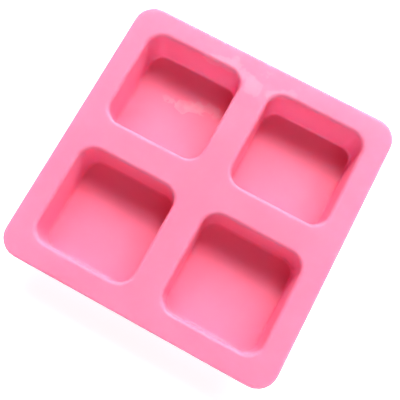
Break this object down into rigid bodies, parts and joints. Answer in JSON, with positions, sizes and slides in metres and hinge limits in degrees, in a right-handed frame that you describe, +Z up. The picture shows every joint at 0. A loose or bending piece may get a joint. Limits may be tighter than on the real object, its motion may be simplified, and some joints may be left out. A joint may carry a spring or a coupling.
{
  "type": "silicone soap mould tray",
  "caption": "Flexible one-piece moulding tray with a grid of deep rounded-square cavities hanging from a flat deck, for casting soap bars.",
  "frame": {"origin": "centre of the plane that the undersides of the four cups rest on", "axes": "+Z up out of the cavities, +X along the front edge, +Y from the front edge to the back edge"},
  "size_m": [0.165, 0.165, 0.0275],
  "materials": {
    "silicone": "satin, slightly translucent moulded silicone"
  },
  "bodies": {
    "root": {"deck": "silicone", "cup_front_left": "silicone", "cup_front_right": "silicone", "cup_back_left": "silicone", "cup_back_right": "silicone"}
  },
  "joints": []
}
